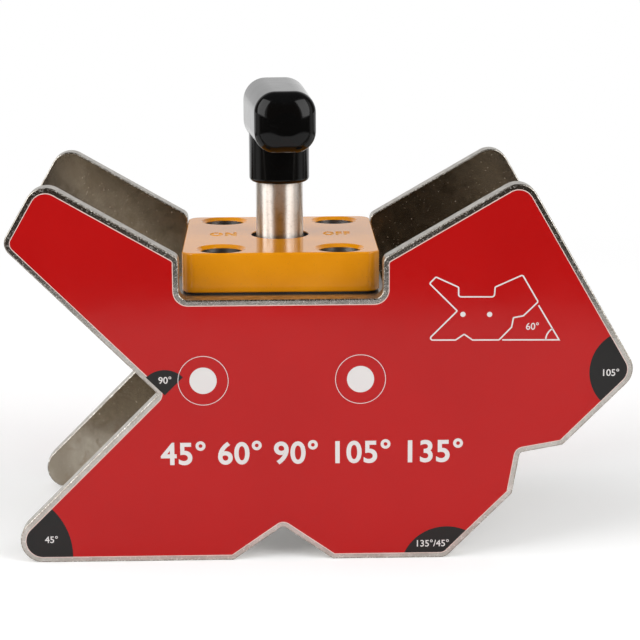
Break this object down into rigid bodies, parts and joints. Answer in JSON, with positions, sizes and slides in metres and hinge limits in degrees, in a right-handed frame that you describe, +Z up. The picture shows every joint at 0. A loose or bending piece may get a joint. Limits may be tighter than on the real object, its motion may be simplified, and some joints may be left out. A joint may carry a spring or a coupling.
{
  "type": "switchable welding magnet",
  "caption": "Switchable multi-angle welding magnet: steel angle plates on a closed housing with fixed and turning disc magnets, yellow flange and black on/off handle.",
  "frame": {"origin": "bottom centre of the part's bounding box, on the surface that the plates' lower edges stand on", "axes": "+X along the plates towards the pointed nose, +Y from the front plate to the back plate, +Z up along the stem"},
  "size_m": [0.177, 0.0806, 0.134],
  "materials": {
    "nickel_plate": "nickel-plated steel, bright, lightly stained",
    "label": "glossy printed film, red with black sectors and white print",
    "pole_steel": "machined steel, lightly oiled",
    "brass": "machined brass",
    "magnet": "nickel-coated sintered magnet",
    "satin_steel": "satin ground stainless steel",
    "bronze": "sintered bronze bearing",
    "black_rubber": "matt black nitrile rubber",
    "yellow_paint": "glossy orange-yellow paint on steel",
    "screw_steel": "plain steel, as supplied",
    "black_plastic": "polished black moulded plastic"
  },
  "bodies": {
    "body": {"front_plate": "nickel_plate", "back_plate": "nickel_plate", "front_label": "label", "back_label": "label", "plate_screw_front_left": "screw_steel", "plate_screw_front_right": "screw_steel", "plate_screw_back_left": "screw_steel", "plate_screw_back_right": "screw_steel", "dowel_front_left": "satin_steel", "dowel_front_right": "satin_steel", "dowel_back_left": "satin_steel", "dowel_back_right": "satin_steel", "back_pole": "pole_steel", "front_pole": "pole_steel", "left_spacer": "brass", "right_spacer": "brass", "bottom_cover": "satin_steel", "cover_screw_1": "screw_steel", "cover_screw_2": "screw_steel", "cover_screw_3": "screw_steel", "cover_screw_4": "screw_steel", "fixed_magnet": "magnet", "thrust_washer": "brass", "flange": "yellow_paint", "stem_bushing": "bronze", "stem_seal": "black_rubber", "flange_gasket": "black_rubber", "flange_screw_1": "screw_steel", "flange_screw_2": "screw_steel", "flange_screw_3": "screw_steel", "flange_screw_4": "screw_steel"},
    "rotor": {"rotor_magnet": "magnet", "rotor_carrier": "pole_steel", "drive_pin_left": "satin_steel", "drive_pin_right": "satin_steel", "stop_pin": "satin_steel", "stem": "satin_steel", "handle_core": "pole_steel", "handle_pin": "satin_steel", "handle_grip": "black_plastic"}
  },
  "joints": [
    {"name": "handle_turn", "type": "hinge", "parent": "body", "child": "rotor", "pos_m": [-0.01139, 0, 0.0885], "axis": [0, 0, 1], "range_deg": [-94.5, 85.5]}
  ]
}
